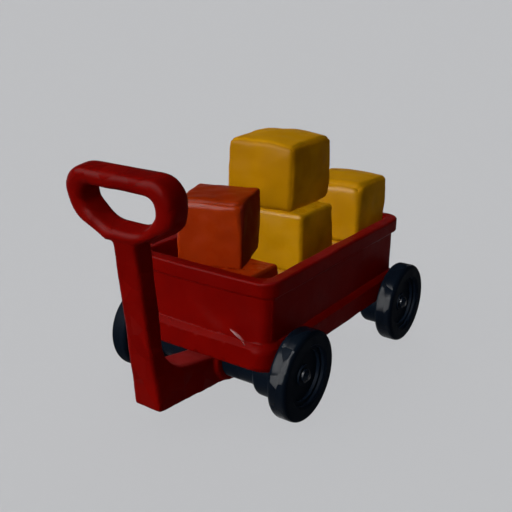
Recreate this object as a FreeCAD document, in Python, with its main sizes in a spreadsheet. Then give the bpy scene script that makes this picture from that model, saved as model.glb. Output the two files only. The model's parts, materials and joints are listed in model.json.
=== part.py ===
"""A toy pull wagon loaded with play blocks, as a parametric FreeCAD document.

Lengths are millimetres and angles are degrees. +X is to the right, +Y points to
the rear and +Z is up. The origin lies on the floor, midway along and across.
"""
import FreeCAD, Part
import math
import os
import re

import Sketcher

# Driving dimensions, each written once, by the piece that they belong to
SIZES = {
    # wheels
    "wheel_radius": 50.0,
    "wheel_width": 22.8,
    "wheelbase_length": 244.7,
    "tyre_thickness": 17.0,
    "tyre_shoulder_round": 5.0,
    "tyre_lip_chamfer": 2.5,
    "disc_outer_recess": 5.5,
    "disc_inner_recess": 4.0,
    "disc_rim_thickness": 4.5,
    "disc_web_thickness": 5.0,
    "disc_web_depth": 9.0,
    "disc_boss_radius": 11.5,
    "disc_boss_depth": 7.0,
    # axle rods and their push-on caps
    "rod_radius": 4.0,
    "running_clearance": 0.06,
    "end_clearance": 0.3,
    "cap_radius": 7.5,
    "cap_height": 5.5,
    "cap_wall": 2.5,
    "cap_top_radius": 3.4,
    "cap_brim_height": 2.0,
    # tray
    "block_side_play": 4.7,
    "block_end_play": 55.0,
    "axle_to_tray_rise": 11.5,
    "tray_floor_thickness": 3.0,
    "tray_wall_thickness": 9.6,
    "tray_rim_overhang": 5.6,
    "tray_rim_height": 17.8,
    "tray_height": 96.95,
    "tray_corner_round": 20.0,
    "tray_inner_round": 11.0,
    "tray_edge_round": 3.0,
    "tray_floor_round": 5.0,
    "skirt_height": 27.5,
    "skirt_shoulder": 5.0,
    "tray_front_to_axle": 41.8,
    "wheel_to_tray_gap": 2.0,
    # axle brackets and spine
    "beam_radius": 26.0,
    "drum_radius": 34.0,
    "drum_width": 28.0,
    "drum_shoulder": 3.0,
    "drum_edge_round": 6.0,
    "fork_clearance": 1.5,
    "spine_half_width": 36.0,
    "spine_depth": 24.5,
    "spine_edge_round": 6.0,
    "hub_to_spine_gap": 2.5,
    # handle, in its own leaning frame, whose origin is the front axle
    "bar_lean_angle": 7.8,
    "bar_front_offset": 121.3,
    "bar_heel_depth": 18.0,
    "grip_depth": 26.8,
    "bar_foot_half_width": 18.2,
    "bar_neck_half_width": 13.8,
    "grip_throat_height": 180.0,
    "grip_half_width": 64.0,
    "grip_flare_height": 25.0,
    "grip_side_height": 40.6,
    "grip_bar_height": 15.0,
    "grip_side_width": 19.5,
    "grip_hole_bottom_rise": 10.5,
    "grip_hole_side_height": 18.4,
    "grip_hole_bottom_half_width": 24.0,
    "grip_top_round_share": 0.56,
    "grip_side_round_share": 0.6,
    "grip_neck_round": 9.0,
    "grip_hole_top_round": 11.0,
    "grip_hole_side_round": 10.0,
    "grip_hole_bottom_round": 30.0,
    "handle_edge_round": 3.5,
    "foot_fall_angle": 12.8,
    "foot_top_offset": 1.4,
    "foot_rise_angle": 18.6,
    "heel_fillet": 38.0,
    "handle_hub_radius": 31.0,
    "handle_hub_half_width": 22.0,
    "handle_boss_radius": 9.5,
    # load of play blocks; these insets are from the tray's inner front
    "block_size": 74.0,
    "block_round": 7.0,
    "front_block_height": 80.5,
    "front_block_inset": 2.4,
    "front_block_from_centre": 8.0,
    "turned_block_angle": 19.5,
    "turned_block_inset": 20.6,
    "turned_block_from_centre": -22.1,
    "turned_block_gap": 1.0,
    "low_block_height": 60.0,
    "mid_block_height": 69.5,
    "mid_block_setback": 1.5,
    "mid_block_from_centre": 19.0,
    "top_block_extra_width": 14.0,
    "top_block_height": 77.0,
    "top_block_from_centre": -1.2,
    # and these are from its inner rear and its right inner wall
    "back_block_inset": 2.0,
    "side_block_inset": 1.7,
}

# Sizes that follow from the driving ones
WORKED_OUT = {
    "tyre_inner_radius": "wheel_radius - tyre_thickness",
    "tray_bottom_height": "wheel_radius + axle_to_tray_rise",
    "tray_inner_half_width": "block_size + block_side_play",
    "tray_inner_length": "3 * block_size + block_end_play",
    "tray_wall_half_width": "tray_inner_half_width + tray_wall_thickness",
    "tray_rim_half_width": "tray_wall_half_width + tray_rim_overhang",
    "rim_total_width": "tray_wall_thickness + tray_rim_overhang",
    "tray_floor_height": "tray_bottom_height + tray_floor_thickness",
    "wheel_inner_x": "tray_rim_half_width + wheel_to_tray_gap",
    "drum_outer_x": "wheel_inner_x - end_clearance",
    "disc_boss_outer_x": "wheel_inner_x + wheel_width - disc_boss_depth",
    "cap_inner_x": "disc_boss_outer_x + end_clearance",
    "rod_half_length": "cap_inner_x + cap_height - cap_wall",
    "grip_shoulder_height": "grip_throat_height + grip_flare_height",
    "grip_top_height": "grip_shoulder_height + grip_side_height",
    "grip_hole_bottom_height": "grip_throat_height + grip_hole_bottom_rise",
    "grip_hole_top_height": "grip_top_height - grip_bar_height",
    "grip_hole_corner_height": "grip_hole_top_height - grip_hole_side_height",
    "grip_front_reach": "bar_front_offset * cos(bar_lean_angle)"
                        " + (grip_top_height - handle_edge_round) * sin(bar_lean_angle)"
                        " + handle_edge_round * (1 - cos(bar_lean_angle))",
    "front_axle_y": "(grip_front_reach - wheelbase_length - wheel_radius) / 2",
    "rear_axle_y": "front_axle_y + wheelbase_length",
    "tray_front_y": "front_axle_y - tray_front_to_axle",
    "tray_inner_front_y": "tray_front_y + rim_total_width",
    "tray_inner_back_y": "tray_inner_front_y + tray_inner_length",
    "tray_back_y": "tray_inner_back_y + rim_total_width",
    "elbow_height": "bar_front_offset * tan(foot_fall_angle)"
                    " - handle_hub_radius / cos(foot_fall_angle)",
    "heel_height": "foot_top_offset + (bar_front_offset - bar_heel_depth) * tan(foot_rise_angle)",
    "fork_half_width": "handle_hub_half_width + fork_clearance",
    "bore_radius": "rod_radius + running_clearance",
    "turned_block_base": "tray_floor_height + front_block_height",
    "turned_block_reach": "block_round + (block_size / 2 - block_round)"
                          " * (cos(turned_block_angle) + sin(turned_block_angle))",
    "top_block_width": "block_size + top_block_extra_width",
    "top_block_inset": "turned_block_inset + block_size / 2 + turned_block_reach"
                       " + turned_block_gap",
    "mid_block_inset": "top_block_inset + mid_block_setback",
    "mid_block_base": "tray_floor_height + low_block_height",
    "top_block_base": "mid_block_base + mid_block_height",
    "back_block_base": "tray_floor_height + block_size",
}

ROUGH_SPREAD = 10.0   # size of the loose figure that a sketch's constraints pull to its place
TOLERANCE = 0.01      # how near an edge lies to a place that names it

doc = FreeCAD.newDocument("pull_wagon")
sheet = doc.addObject("Spreadsheet::Sheet", "Sizes")


def fill_sheet():
    """Write the driving sizes as plain numbers and the worked-out ones as formulas."""
    for row, (name, number) in enumerate(SIZES.items(), start=1):
        sheet.set("A%d" % row, name)
        sheet.set("B%d" % row, str(number))
        sheet.setAlias("B%d" % row, name)
    for row, (name, formula) in enumerate(WORKED_OUT.items(), start=1):
        sheet.set("D%d" % row, name)
        sheet.setAlias("E%d" % row, name)
    for row, formula in enumerate(WORKED_OUT.values(), start=1):
        sheet.set("E%d" % row, "=" + formula)
    doc.recompute()


def size(name):
    """The present number of one size."""
    return float(sheet.get(name))


def from_sheet(formula):
    """A formula of sizes, with each size's name led by the sheet's."""
    return re.sub(r"\b([a-z]+_\w+)\b", r"Sizes.\1", formula)


def bind(thing, prop, formula):
    thing.setExpression(prop, from_sheet(formula))


def place(body, across="0", along="0", up="0", axis=None, angle="0"):
    """Put a piece where formulas say, turned about one axis."""
    if axis is not None:
        body.Placement = FreeCAD.Placement(FreeCAD.Vector(), FreeCAD.Rotation(axis, 1))
        bind(body, "Placement.Rotation.Angle", angle)
    bind(body, "Placement.Base.x", across)
    bind(body, "Placement.Base.y", along)
    bind(body, "Placement.Base.z", up)


def new_body(name):
    body = doc.addObject("PartDesign::Body", name)
    body.Label = name
    return body


def new_sketch(body, name, role, lift="0"):
    """An empty sketch on one of the body's own planes, lifted off it by a formula."""
    sketch = body.newObject("Sketcher::SketchObject", name)
    plane = next(item for item in body.Origin.OriginFeatures if item.Role == role)
    sketch.AttachmentSupport = (plane, [""])
    sketch.MapMode = "FlatFace"
    bind(sketch, "AttachmentOffset.Base.z", lift)
    return sketch


def add_outline(sketch, corners):
    """A closed run of straight lines; each corner is a pair of formulas, across and up."""
    first = sketch.GeometryCount
    count = len(corners)
    turns = [2 * math.pi * index / count for index in range(count)]
    rough = [FreeCAD.Vector(math.cos(turn), math.sin(turn), 0) * ROUGH_SPREAD for turn in turns]
    for index in range(count):
        sketch.addGeometry(Part.LineSegment(rough[index], rough[(index + 1) % count]), False)
    for index in range(count):
        following = first + (index + 1) % count
        sketch.addConstraint(Sketcher.Constraint("Coincident", first + index, 2, following, 1))
    for index, (across, up) in enumerate(corners):
        spot = rough[index]
        for kind, formula, start in (("DistanceX", across, spot.x), ("DistanceY", up, spot.y)):
            place_rule = Sketcher.Constraint(kind, -1, 1, first + index, 1, start)
            number = sketch.addConstraint(place_rule)
            bind(sketch, "Constraints[%d]" % number, formula)


def add_box(sketch, half_across, half_up):
    """A rectangle about the sketch's origin."""
    add_outline(sketch, [
        ("-(%s)" % half_across, "-(%s)" % half_up),
        (half_across, "-(%s)" % half_up),
        (half_across, half_up),
        ("-(%s)" % half_across, half_up),
    ])


def add_circle(sketch, radius):
    """A circle about the sketch's origin."""
    circle = Part.Circle(FreeCAD.Vector(), FreeCAD.Vector(0, 0, 1), ROUGH_SPREAD)
    index = sketch.addGeometry(circle, False)
    sketch.addConstraint(Sketcher.Constraint("Coincident", index, 3, -1, 1))
    number = sketch.addConstraint(Sketcher.Constraint("Radius", index, ROUGH_SPREAD))
    bind(sketch, "Constraints[%d]" % number, radius)


def pad(body, name, sketch, length, both_ways=False):
    feature = body.newObject("PartDesign::Pad", name)
    feature.Profile = sketch
    feature.SideType = "Symmetric" if both_ways else "One side"
    bind(feature, "Length", length)
    doc.recompute()
    stop_if_failed(feature)
    return feature


def pocket(body, name, sketch, length, both_ways=False, upward=False):
    """Cut a sketch out of the body, and make sure that something was cut."""
    before = body.Shape.Volume
    feature = body.newObject("PartDesign::Pocket", name)
    feature.Profile = sketch
    feature.SideType = "Symmetric" if both_ways else "One side"
    feature.Reversed = upward
    bind(feature, "Length", length)
    doc.recompute()
    stop_if_failed(feature)
    if body.Shape.Volume >= before:
        raise RuntimeError(name + " cuts nothing")
    return feature


def revolve(body, name, sketch):
    """Turn a sketch once round its own across axis."""
    feature = body.newObject("PartDesign::Revolution", name)
    feature.Profile = sketch
    feature.ReferenceAxis = (sketch, ["H_Axis"])
    feature.Angle = 360
    doc.recompute()
    stop_if_failed(feature)
    return feature


def soften(body, name, radius, chosen, kind="Fillet"):
    """Fillet or chamfer the edges of the body that a test chooses."""
    doc.recompute()
    base = body.Tip
    edges = base.Shape.Edges
    names = ["Edge%d" % number for number, edge in enumerate(edges, start=1) if chosen(edge)]
    if not names:
        raise RuntimeError(name + " finds no edge")
    feature = body.newObject("PartDesign::" + kind, name)
    feature.Base = (base, names)
    bind(feature, "Radius" if kind == "Fillet" else "Size", radius)
    doc.recompute()
    stop_if_failed(feature)
    return feature


def stop_if_failed(feature):
    """A failed feature leaves the solid before it in place, so it is looked for at once."""
    if "Invalid" in feature.State or "Error" in feature.State:
        raise RuntimeError("%s: %s" % (feature.Label, feature.getStatusString()))


def near(number, other):
    return abs(number - other) < TOLERANCE


def runs_along(edge, axis):
    """Whether an edge is straight and parallel to one axis, named x, y or z."""
    if edge.Curve.TypeId != "Part::GeomLine":
        return False
    direction = edge.Vertexes[-1].Point - edge.Vertexes[0].Point
    return near(abs(getattr(direction, axis)), direction.Length)


def lies_at_height(edge, height):
    return near(edge.BoundBox.ZMin, height) and near(edge.BoundBox.ZMax, height)


def furthest_across(edge):
    return max(abs(edge.BoundBox.XMin), abs(edge.BoundBox.XMax))


def make_tray():
    """Open tub with a thick wall, a rolled rim and a raised skirt band."""
    body = new_body("tray")
    place(body, along="(tray_front_y + tray_back_y) / 2", up="tray_bottom_height")
    outer_half_length = "(tray_inner_length / 2 + rim_total_width)"
    wall_half_length = "(tray_inner_length / 2 + tray_wall_thickness)"

    skirt = new_sketch(body, "skirt_outline", "XY_Plane")
    add_box(skirt, "tray_rim_half_width", outer_half_length)
    pad(body, "skirt_band", skirt, "skirt_height")
    wall = new_sketch(body, "wall_outline", "XY_Plane")
    add_box(wall, "tray_wall_half_width", wall_half_length)
    pad(body, "wall", wall, "tray_height")
    rim = new_sketch(body, "rim_outline", "XY_Plane", lift="tray_height - tray_rim_height")
    add_box(rim, "tray_rim_half_width", outer_half_length)
    pad(body, "rim", rim, "tray_rim_height")
    hold = new_sketch(body, "hold_outline", "XY_Plane", lift="tray_height")
    add_box(hold, "tray_inner_half_width", "tray_inner_length / 2")
    pocket(body, "hold", hold, "tray_height - tray_floor_thickness")

    inner_half_width = size("tray_inner_half_width")
    wall_half_width = size("tray_wall_half_width")
    rim_half_width = size("tray_rim_half_width")
    height = size("tray_height")
    skirt_top = size("skirt_height")

    def upright_at(half_width):
        return lambda edge: runs_along(edge, "z") and near(furthest_across(edge), half_width)

    soften(body, "outer_corners", "tray_corner_round", upright_at(rim_half_width))
    soften(body, "wall_corners", "tray_corner_round - tray_rim_overhang", upright_at(wall_half_width))
    soften(body, "inner_corners", "tray_inner_round", upright_at(inner_half_width))

    def skirt_top_edge(edge):
        return lies_at_height(edge, skirt_top) and on_outline(edge, rim_half_width)

    def on_outline(edge, half_width):
        """Whether an edge belongs to the round-cornered outline of that half width."""
        half_length = size("tray_inner_length") / 2 + half_width - inner_half_width
        box = edge.BoundBox
        return near(furthest_across(edge), half_width) or near(
            max(abs(box.YMin), abs(box.YMax)), half_length)

    def rim_edge(edge):
        at_top = lies_at_height(edge, height)
        at_lip = lies_at_height(edge, height - size("tray_rim_height"))
        return at_top or (at_lip and on_outline(edge, rim_half_width))

    def floor_edge(edge):
        return lies_at_height(edge, size("tray_floor_thickness"))

    soften(body, "skirt_shoulder_slope", "skirt_shoulder", skirt_top_edge, kind="Chamfer")
    soften(body, "rim_rounding", "tray_edge_round", rim_edge)
    soften(body, "floor_rounding", "tray_floor_round", floor_edge)


def make_bracket(name, profile):
    """Moulded axle housing: a round beam with drum ends, cut flat under the tray."""
    body = new_body(name)
    section = new_sketch(body, name + "_section", "XY_Plane")
    add_outline(section, profile)
    revolve(body, name + "_turned", section)
    drum = size("drum_radius")

    def drum_edge(edge):
        round_edge = edge.Curve.TypeId == "Part::GeomCircle"
        return round_edge and near(edge.Curve.Radius, drum)

    soften(body, name + "_drum_rounding", "drum_edge_round", drum_edge)
    top = new_sketch(body, name + "_top_outline", "XY_Plane", lift="axle_to_tray_rise")
    add_box(top, "drum_outer_x + drum_shoulder", "drum_radius + drum_shoulder")
    pocket(body, name + "_flat_top", top, "drum_radius", upward=True)
    return body


def make_brackets():
    """Two front housings, with the handle's hub between them, and one at the rear."""
    drum_end = [
        ("drum_outer_x", "rod_radius"),
        ("drum_outer_x", "drum_radius"),
        ("drum_outer_x - drum_width", "drum_radius"),
        ("drum_outer_x - drum_width - drum_shoulder", "beam_radius"),
    ]
    half = [("fork_half_width", "rod_radius")] + drum_end + [("fork_half_width", "beam_radius")]
    mirrored_end = [("-(%s)" % across, up) for across, up in reversed(drum_end)]
    right = make_bracket("front_axle_bracket_right", half)
    place(right, along="front_axle_y", up="wheel_radius")
    left = make_bracket("front_axle_bracket_left", half)
    place(left, along="front_axle_y", up="wheel_radius", axis=FreeCAD.Vector(0, 0, 1), angle="180")
    rear = make_bracket("rear_axle_bracket", drum_end + mirrored_end)
    place(rear, along="rear_axle_y", up="wheel_radius")


def make_spine():
    """Bar under the tray that joins the housings and forks round the handle's hub."""
    body = new_body("chassis_spine")
    place(body, along="front_axle_y", up="wheel_radius")
    front = "beam_radius / 2"
    back = "wheelbase_length - beam_radius / 2"
    slot_end = "handle_hub_radius + hub_to_spine_gap"
    plan = new_sketch(body, "spine_plan", "XY_Plane", lift="axle_to_tray_rise - spine_depth")
    add_outline(plan, [
        ("spine_half_width", front),
        ("spine_half_width", back),
        ("-spine_half_width", back),
        ("-spine_half_width", front),
        ("-fork_half_width", front),
        ("-fork_half_width", slot_end),
        ("fork_half_width", slot_end),
        ("fork_half_width", front),
    ])
    pad(body, "spine_block", plan, "spine_depth")
    low = size("axle_to_tray_rise") - size("spine_depth")

    def long_low_edge(edge):
        outside = near(furthest_across(edge), size("spine_half_width"))
        return outside and lies_at_height(edge, low) and runs_along(edge, "y")

    soften(body, "spine_rounding", "spine_edge_round", long_low_edge)
    for name, along in (("front_seat", "0"), ("rear_seat", "wheelbase_length")):
        seat = new_sketch(body, name + "_outline", "YZ_Plane")
        circle = Part.Circle(FreeCAD.Vector(), FreeCAD.Vector(0, 0, 1), ROUGH_SPREAD)
        seat.addGeometry(circle, False)
        radius = seat.addConstraint(Sketcher.Constraint("Radius", 0, ROUGH_SPREAD))
        bind(seat, "Constraints[%d]" % radius, "beam_radius")
        across = seat.addConstraint(Sketcher.Constraint("DistanceX", -1, 1, 0, 3, 1))
        bind(seat, "Constraints[%d]" % across, along)
        seat.addConstraint(Sketcher.Constraint("PointOnObject", 0, 3, -1))
        pocket(body, name, seat, "3 * spine_half_width", both_ways=True)


def make_rod(name, along):
    """Steel rod that carries two wheels."""
    rod = doc.addObject("Part::Cylinder", name)
    rod.Label = name
    bind(rod, "Radius", "rod_radius")
    bind(rod, "Height", "2 * rod_half_length")
    place(rod, across="-rod_half_length", along=along, up="wheel_radius",
          axis=FreeCAD.Vector(0, 1, 0), angle="90")


def place_at_wheel(body, side, along, across):
    """Put a piece drawn for the right side at one of the four wheels."""
    if side == "right":
        place(body, across=across, along=along, up="wheel_radius")
    else:
        place(body, across="-(%s)" % across, along=along, up="wheel_radius",
              axis=FreeCAD.Vector(0, 0, 1), angle="180")


def make_tyre(corner, side, along):
    """Plain moulded tyre, with rounded shoulders and a bevelled outer lip."""
    body = new_body(corner + "_tyre")
    section = new_sketch(body, corner + "_tyre_section", "XY_Plane")
    add_outline(section, [
        ("0", "tyre_inner_radius"),
        ("wheel_width - tyre_lip_chamfer", "tyre_inner_radius"),
        ("wheel_width", "tyre_inner_radius + tyre_lip_chamfer"),
        ("wheel_width", "wheel_radius"),
        ("0", "wheel_radius"),
    ])
    revolve(body, corner + "_tyre_turned", section)
    outer = size("wheel_radius")

    def shoulder(edge):
        return edge.Curve.TypeId == "Part::GeomCircle" and near(edge.Curve.Radius, outer)

    soften(body, corner + "_tyre_shoulders", "tyre_shoulder_round", shoulder)
    place_at_wheel(body, side, along, "wheel_inner_x")


def make_disc(corner, side, along):
    """Wheel disc that fills the tyre: a rim, a dished web and a bored boss."""
    body = new_body(corner + "_wheel_disc")
    rim_inside = "tyre_inner_radius - disc_rim_thickness"
    web_outer = "wheel_width - disc_web_depth"
    web_inner = "wheel_width - disc_web_depth - disc_web_thickness"
    rim_outer = "wheel_width - disc_outer_recess"
    boss_outer = "wheel_width - disc_boss_depth"
    section = new_sketch(body, corner + "_disc_section", "XY_Plane")
    add_outline(section, [
        ("0", "bore_radius"),
        (boss_outer, "bore_radius"),
        (boss_outer, "disc_boss_radius"),
        (web_outer, "disc_boss_radius"),
        (web_outer, rim_inside),
        (rim_outer, rim_inside),
        (rim_outer, "tyre_inner_radius"),
        ("disc_inner_recess", "tyre_inner_radius"),
        ("disc_inner_recess", rim_inside),
        (web_inner, rim_inside),
        (web_inner, "disc_boss_radius"),
        ("0", "disc_boss_radius"),
    ])
    revolve(body, corner + "_disc_turned", section)
    place_at_wheel(body, side, along, "wheel_inner_x")


def make_cap(corner, side, along):
    """Push-on cap that keeps a wheel on its rod."""
    body = new_body(corner + "_axle_cap")
    section = new_sketch(body, corner + "_cap_section", "XY_Plane")
    add_outline(section, [
        ("0", "rod_radius"),
        ("0", "cap_radius"),
        ("cap_brim_height", "cap_radius"),
        ("cap_height", "cap_top_radius"),
        ("cap_height", "0"),
        ("cap_height - cap_wall", "0"),
        ("cap_height - cap_wall", "rod_radius"),
    ])
    revolve(body, corner + "_cap_turned", section)
    place_at_wheel(body, side, along, "cap_inner_x")


def make_handle():
    """One moulding: hub on the front axle, foot, leaning bar and looped grip."""
    body = new_body("handle")
    place(body, along="front_axle_y", up="wheel_radius",
          axis=FreeCAD.Vector(1, 0, 0), angle="bar_lean_angle")
    side = new_sketch(body, "side_outline", "YZ_Plane")
    add_outline(side, [
        ("-bar_front_offset", "elbow_height"),
        ("-handle_hub_radius * sin(foot_fall_angle)", "-handle_hub_radius * cos(foot_fall_angle)"),
        ("0", "foot_top_offset"),
        ("bar_heel_depth - bar_front_offset", "heel_height"),
        ("grip_depth - bar_front_offset", "grip_top_height"),
        ("-bar_front_offset", "grip_top_height"),
    ])
    pad(body, "side_block", side, "2 * grip_half_width", both_ways=True)
    heel_y = size("bar_heel_depth") - size("bar_front_offset")

    def heel_corner(edge):
        return runs_along(edge, "x") and near(edge.BoundBox.YMin, heel_y)

    soften(body, "heel_rounding", "heel_fillet", heel_corner)

    # What the front view leaves outside the bar, and inside the grip, is cut away
    front = new_sketch(body, "front_outline", "XZ_Plane", lift="bar_front_offset")
    add_box(front, "2 * grip_half_width", "2 * grip_top_height")
    half_outline = [
        ("bar_foot_half_width", "-2 * handle_hub_radius"),
        ("bar_neck_half_width", "grip_throat_height"),
        ("grip_half_width", "grip_shoulder_height"),
        ("grip_half_width", "grip_top_height + handle_edge_round"),
    ]
    half_hole = [
        ("grip_hole_bottom_half_width", "grip_hole_bottom_height"),
        ("grip_half_width - grip_side_width", "grip_hole_corner_height"),
        ("grip_half_width - grip_side_width", "grip_hole_top_height"),
    ]
    for half in (half_outline, half_hole):
        add_outline(front, half + [("-(%s)" % across, up) for across, up in reversed(half)])
    pocket(body, "front_trim", front, "3 * bar_front_offset")

    grip_top = size("grip_top_height")
    hole_half = size("grip_half_width") - size("grip_side_width")

    def through_at(half_width, *heights):
        """Edges that run from front to back at a half width and one of the heights."""
        def chosen(edge):
            middle = edge.BoundBox.Center.z
            at_height = any(near(middle, height) for height in heights)
            return runs_along(edge, "y") and near(furthest_across(edge), half_width) and at_height
        return chosen

    soften(body, "grip_top_corners", "grip_side_height * grip_top_round_share",
           through_at(size("grip_half_width"), grip_top))
    soften(body, "grip_side_corners", "grip_side_height * grip_side_round_share",
           through_at(size("grip_half_width"), size("grip_shoulder_height")))
    soften(body, "grip_neck_corners", "grip_neck_round",
           through_at(size("bar_neck_half_width"), size("grip_throat_height")))
    soften(body, "hole_top_corners", "grip_hole_top_round",
           through_at(hole_half, size("grip_hole_top_height")))
    soften(body, "hole_side_corners", "grip_hole_side_round",
           through_at(hole_half, size("grip_hole_corner_height")))
    soften(body, "hole_bottom_corners", "grip_hole_bottom_round",
           through_at(size("grip_hole_bottom_half_width"), size("grip_hole_bottom_height")))

    front_y = -size("bar_front_offset")
    back_slope = (size("grip_depth") - size("bar_heel_depth")) / (grip_top - size("heel_height"))

    def on_front(spot):
        return near(spot.y, front_y)

    def on_back(spot):
        return near(spot.y, front_y + size("grip_depth") - back_slope * (grip_top - spot.z))

    def face_edge(edge):
        spots = [vertex.Point for vertex in edge.Vertexes]
        return all(map(on_front, spots)) or all(map(on_back, spots))

    soften(body, "handle_edge_rounding", "handle_edge_round", face_edge)

    hub = new_sketch(body, "hub_outline", "YZ_Plane")
    add_circle(hub, "handle_hub_radius")
    pad(body, "hub", hub, "2 * handle_hub_half_width", both_ways=True)
    above = new_sketch(body, "above_hub_outline", "YZ_Plane")
    reach = "(2 * handle_hub_radius)"
    rise = reach + " * tan(foot_rise_angle)"
    add_outline(above, [
        ("-" + reach, "foot_top_offset + " + rise),
        (reach, "foot_top_offset - " + rise),
        (reach, "2 * handle_hub_radius"),
        ("-" + reach, "2 * handle_hub_radius"),
    ])
    pocket(body, "hub_top", above, "3 * handle_hub_half_width", both_ways=True)
    boss = new_sketch(body, "boss_outline", "YZ_Plane")
    add_circle(boss, "handle_boss_radius")
    pad(body, "boss", boss, "2 * handle_hub_half_width", both_ways=True)
    bore = new_sketch(body, "bore_outline", "YZ_Plane")
    add_circle(bore, "bore_radius")
    pocket(body, "bore", bore, "3 * handle_hub_half_width", both_ways=True)


def make_block(name, across, along, up, turn="0", width="block_size", height="block_size"):
    """Play block, rounded all over."""
    body = new_body(name)
    base = new_sketch(body, name + "_base", "XY_Plane")
    add_box(base, width + " / 2", width + " / 2")
    pad(body, name + "_cube", base, height)
    soften(body, name + "_rounding", "block_round", lambda edge: True)
    place(body, across=across, along=along, up=up, axis=FreeCAD.Vector(0, 0, 1), angle=turn)


def make_load():
    """Blocks piled in the tray: three on its floor, three on those and one on top."""
    side_x = "tray_inner_half_width - side_block_inset - block_size / 2"
    back_y = "tray_inner_back_y - back_block_inset - block_size / 2"
    make_block("red_block_lower", "front_block_from_centre",
               "tray_inner_front_y + front_block_inset + block_size / 2",
               "tray_floor_height", height="front_block_height")
    mid_y = "tray_inner_front_y + mid_block_inset + block_size / 2"
    make_block("yellow_block_hidden_front", "mid_block_from_centre", mid_y,
               "tray_floor_height", height="low_block_height")
    make_block("yellow_block_hidden_back", side_x, back_y, "tray_floor_height")
    make_block("red_block_upper", "turned_block_from_centre",
               "tray_inner_front_y + turned_block_inset + block_size / 2",
               "turned_block_base", "turned_block_angle")
    make_block("yellow_block_middle", "mid_block_from_centre", mid_y, "mid_block_base",
               height="mid_block_height")
    make_block("yellow_block_back", side_x, back_y, "back_block_base")
    make_block("yellow_block_top", "top_block_from_centre",
               "tray_inner_front_y + top_block_inset + top_block_width / 2", "top_block_base",
               width="top_block_width", height="top_block_height")


def check_and_export():
    """Stop on any failed object or bad shape, then write one file for each piece."""
    doc.recompute()
    for thing in doc.Objects:
        if "Invalid" in thing.State or "Error" in thing.State:
            raise RuntimeError(thing.Label + " failed")
    pieces = [thing for thing in doc.Objects
              if thing.TypeId in ("PartDesign::Body", "Part::Cylinder")]
    for piece in pieces:
        if piece.Shape.isNull() or not piece.Shape.isValid():
            raise RuntimeError(piece.Label + " has a bad shape")
    os.makedirs("parts", exist_ok=True)
    for piece in pieces:
        piece.Shape.exportStep(os.path.join("parts", piece.Label + ".step"))
        print(piece.Label, len(piece.Shape.Solids), round(piece.Shape.Volume))


fill_sheet()
make_tray()
make_brackets()
make_spine()
for axle, axle_y in (("front", "front_axle_y"), ("rear", "rear_axle_y")):
    make_rod(axle + "_axle_rod", axle_y)
    for hand in ("left", "right"):
        wheel = axle + "_" + hand
        make_tyre(wheel, hand, axle_y)
        make_disc(wheel, hand, axle_y)
        make_cap(wheel, hand, axle_y)
make_handle()
make_load()
check_and_export()
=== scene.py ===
"""Looks of a toy pull wagon loaded with play blocks, dressed over its CAD frame.

Lengths are metres. +X is to the right, +Y points to the rear and +Z is up.
"""
import json
import math

import bmesh
import bpy
from mathutils import Matrix, Vector, noise


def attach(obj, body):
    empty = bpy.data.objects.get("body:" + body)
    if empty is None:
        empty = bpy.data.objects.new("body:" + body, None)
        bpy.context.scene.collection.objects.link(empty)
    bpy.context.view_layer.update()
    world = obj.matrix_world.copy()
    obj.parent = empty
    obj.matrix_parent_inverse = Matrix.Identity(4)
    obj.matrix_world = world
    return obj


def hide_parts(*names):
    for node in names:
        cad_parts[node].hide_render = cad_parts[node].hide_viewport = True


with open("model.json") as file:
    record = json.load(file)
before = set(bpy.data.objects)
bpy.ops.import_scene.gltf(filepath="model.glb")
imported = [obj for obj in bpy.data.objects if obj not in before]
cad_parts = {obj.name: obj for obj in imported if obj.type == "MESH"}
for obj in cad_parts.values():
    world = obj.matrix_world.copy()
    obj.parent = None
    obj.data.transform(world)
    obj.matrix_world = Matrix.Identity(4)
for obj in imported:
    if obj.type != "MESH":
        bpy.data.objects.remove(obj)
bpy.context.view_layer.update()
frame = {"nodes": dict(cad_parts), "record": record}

NOISE_SEED = 3

# camera
CAMERA_PLACE = Vector((0.468763, -0.691252, 0.432054))
CAMERA_AZIMUTH = math.radians(34.115)
CAMERA_ELEVATION = math.radians(19.345)
CAMERA_ROLL = math.radians(0.770)
CAMERA_LENS = 53.83

# lamps
KEY_DIRECTION = (-0.47, -0.72, 0.50)
GLINT_DIRECTION = (-0.34, -0.76, 0.55)
SPREAD = 60
WIDE_SPREAD = 80

# room and floor
PALE_GREY = (0.515, 0.521, 0.537, 1.0)
DIM_GREY = (0.03, 0.0303, 0.0309, 1.0)
PALE_BAND_TOP = 0.055
DIM_ROOM_FOOT = 0.09
FLOOR_GREY = (0.14, 0.1412, 0.1435, 1.0)
FLOOR_GLOW = 0.785
FLOOR_HALF = 60.0

# colours, linear
# colours named WORN_AND_HIGHLIT are lighter tones for scuffs and for edges, the edges partly
# rubbed by use and partly painted highlight
RED = (0.150, 0.0013, 0.0003, 1.0)
RED_DEEP = (0.125, 0.0009, 0.0003, 1.0)
RED_WORN_AND_HIGHLIT = (0.185, 0.006, 0.003, 1.0)
# lighter, greyer red of the side rims' tops: painted sheen
RIM_RED_PAINTED_SHEEN = (0.165, 0.0060, 0.0060, 1.0)
RIM_RED_PAINTED_SHEEN_WORN_AND_HIGHLIT = (0.200, 0.0150, 0.0140, 1.0)
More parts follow.
